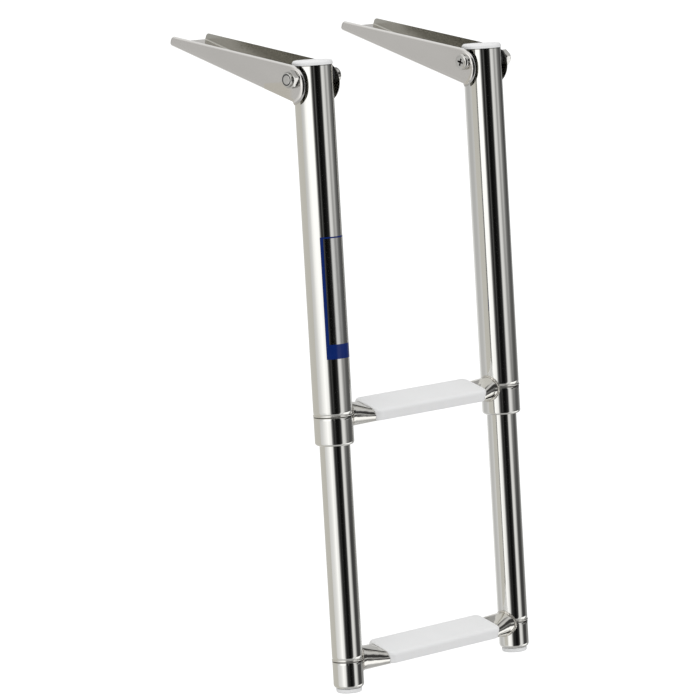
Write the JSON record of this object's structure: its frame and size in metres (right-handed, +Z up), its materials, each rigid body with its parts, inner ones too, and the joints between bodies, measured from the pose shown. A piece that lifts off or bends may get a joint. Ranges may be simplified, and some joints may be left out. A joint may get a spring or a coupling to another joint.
{
  "type": "telescopic boat ladder",
  "caption": "Over-platform telescopic boarding ladder: tube rails on folded brackets, sliding lower rails, flattened tube steps with white plastic treads.",
  "frame": {"origin": "on the flat underside of the left bracket, midway between its two screw holes", "axes": "+X across the ladder from the left rail to the right one, +Y inboard over the platform, +Z up"},
  "size_m": [0.2608, 0.3172, 0.4927],
  "materials": {
    "brackets": "satin stainless sheet, brushed",
    "rails": "polished stainless tube",
    "fasteners": "plain stainless",
    "steps": "polished stainless, slightly uneven",
    "white_plastic": "semi-matt moulded",
    "nylon": "natural nylon",
    "dark_nylon": "black nylon"
  },
  "bodies": {
    "brackets": {"left_bracket": "brackets", "left_hinge_bolt": "fasteners", "left_hinge_washer": "fasteners", "left_lock_nut": "fasteners", "left_inner_spacer": "dark_nylon", "left_outer_spacer": "dark_nylon", "right_bracket": "brackets", "right_hinge_bolt": "fasteners", "right_hinge_washer": "fasteners", "right_lock_nut": "fasteners", "right_inner_spacer": "dark_nylon", "right_outer_spacer": "dark_nylon"},
    "upper_frame": {"left_upper_rail": "rails", "left_top_cap": "white_plastic", "left_middle_collar": "rails", "left_guide_bush": "nylon", "right_upper_rail": "rails", "right_top_cap": "white_plastic", "right_middle_collar": "rails", "right_guide_bush": "nylon", "upper_step_bar": "steps", "upper_step_pad": "white_plastic"},
    "lower_frame": {"left_lower_rail": "rails", "left_stop_sleeve": "nylon", "left_end_fitting": "rails", "left_foot_plug": "white_plastic", "right_lower_rail": "rails", "right_stop_sleeve": "nylon", "right_end_fitting": "rails", "right_foot_plug": "white_plastic", "lower_step_bar": "steps", "lower_step_pad": "white_plastic"}
  },
  "joints": [
    {"name": "fold", "type": "hinge", "parent": "brackets", "child": "upper_frame", "pos_m": [0, -0.082, 0.0189], "axis": [-1, 0, 0], "range_deg": [0, 251]},
    {"name": "telescope", "type": "slide", "parent": "upper_frame", "child": "lower_frame", "axis": [0, 0.3256, 0.9455], "range_m": [0, 0.16]}
  ]
}
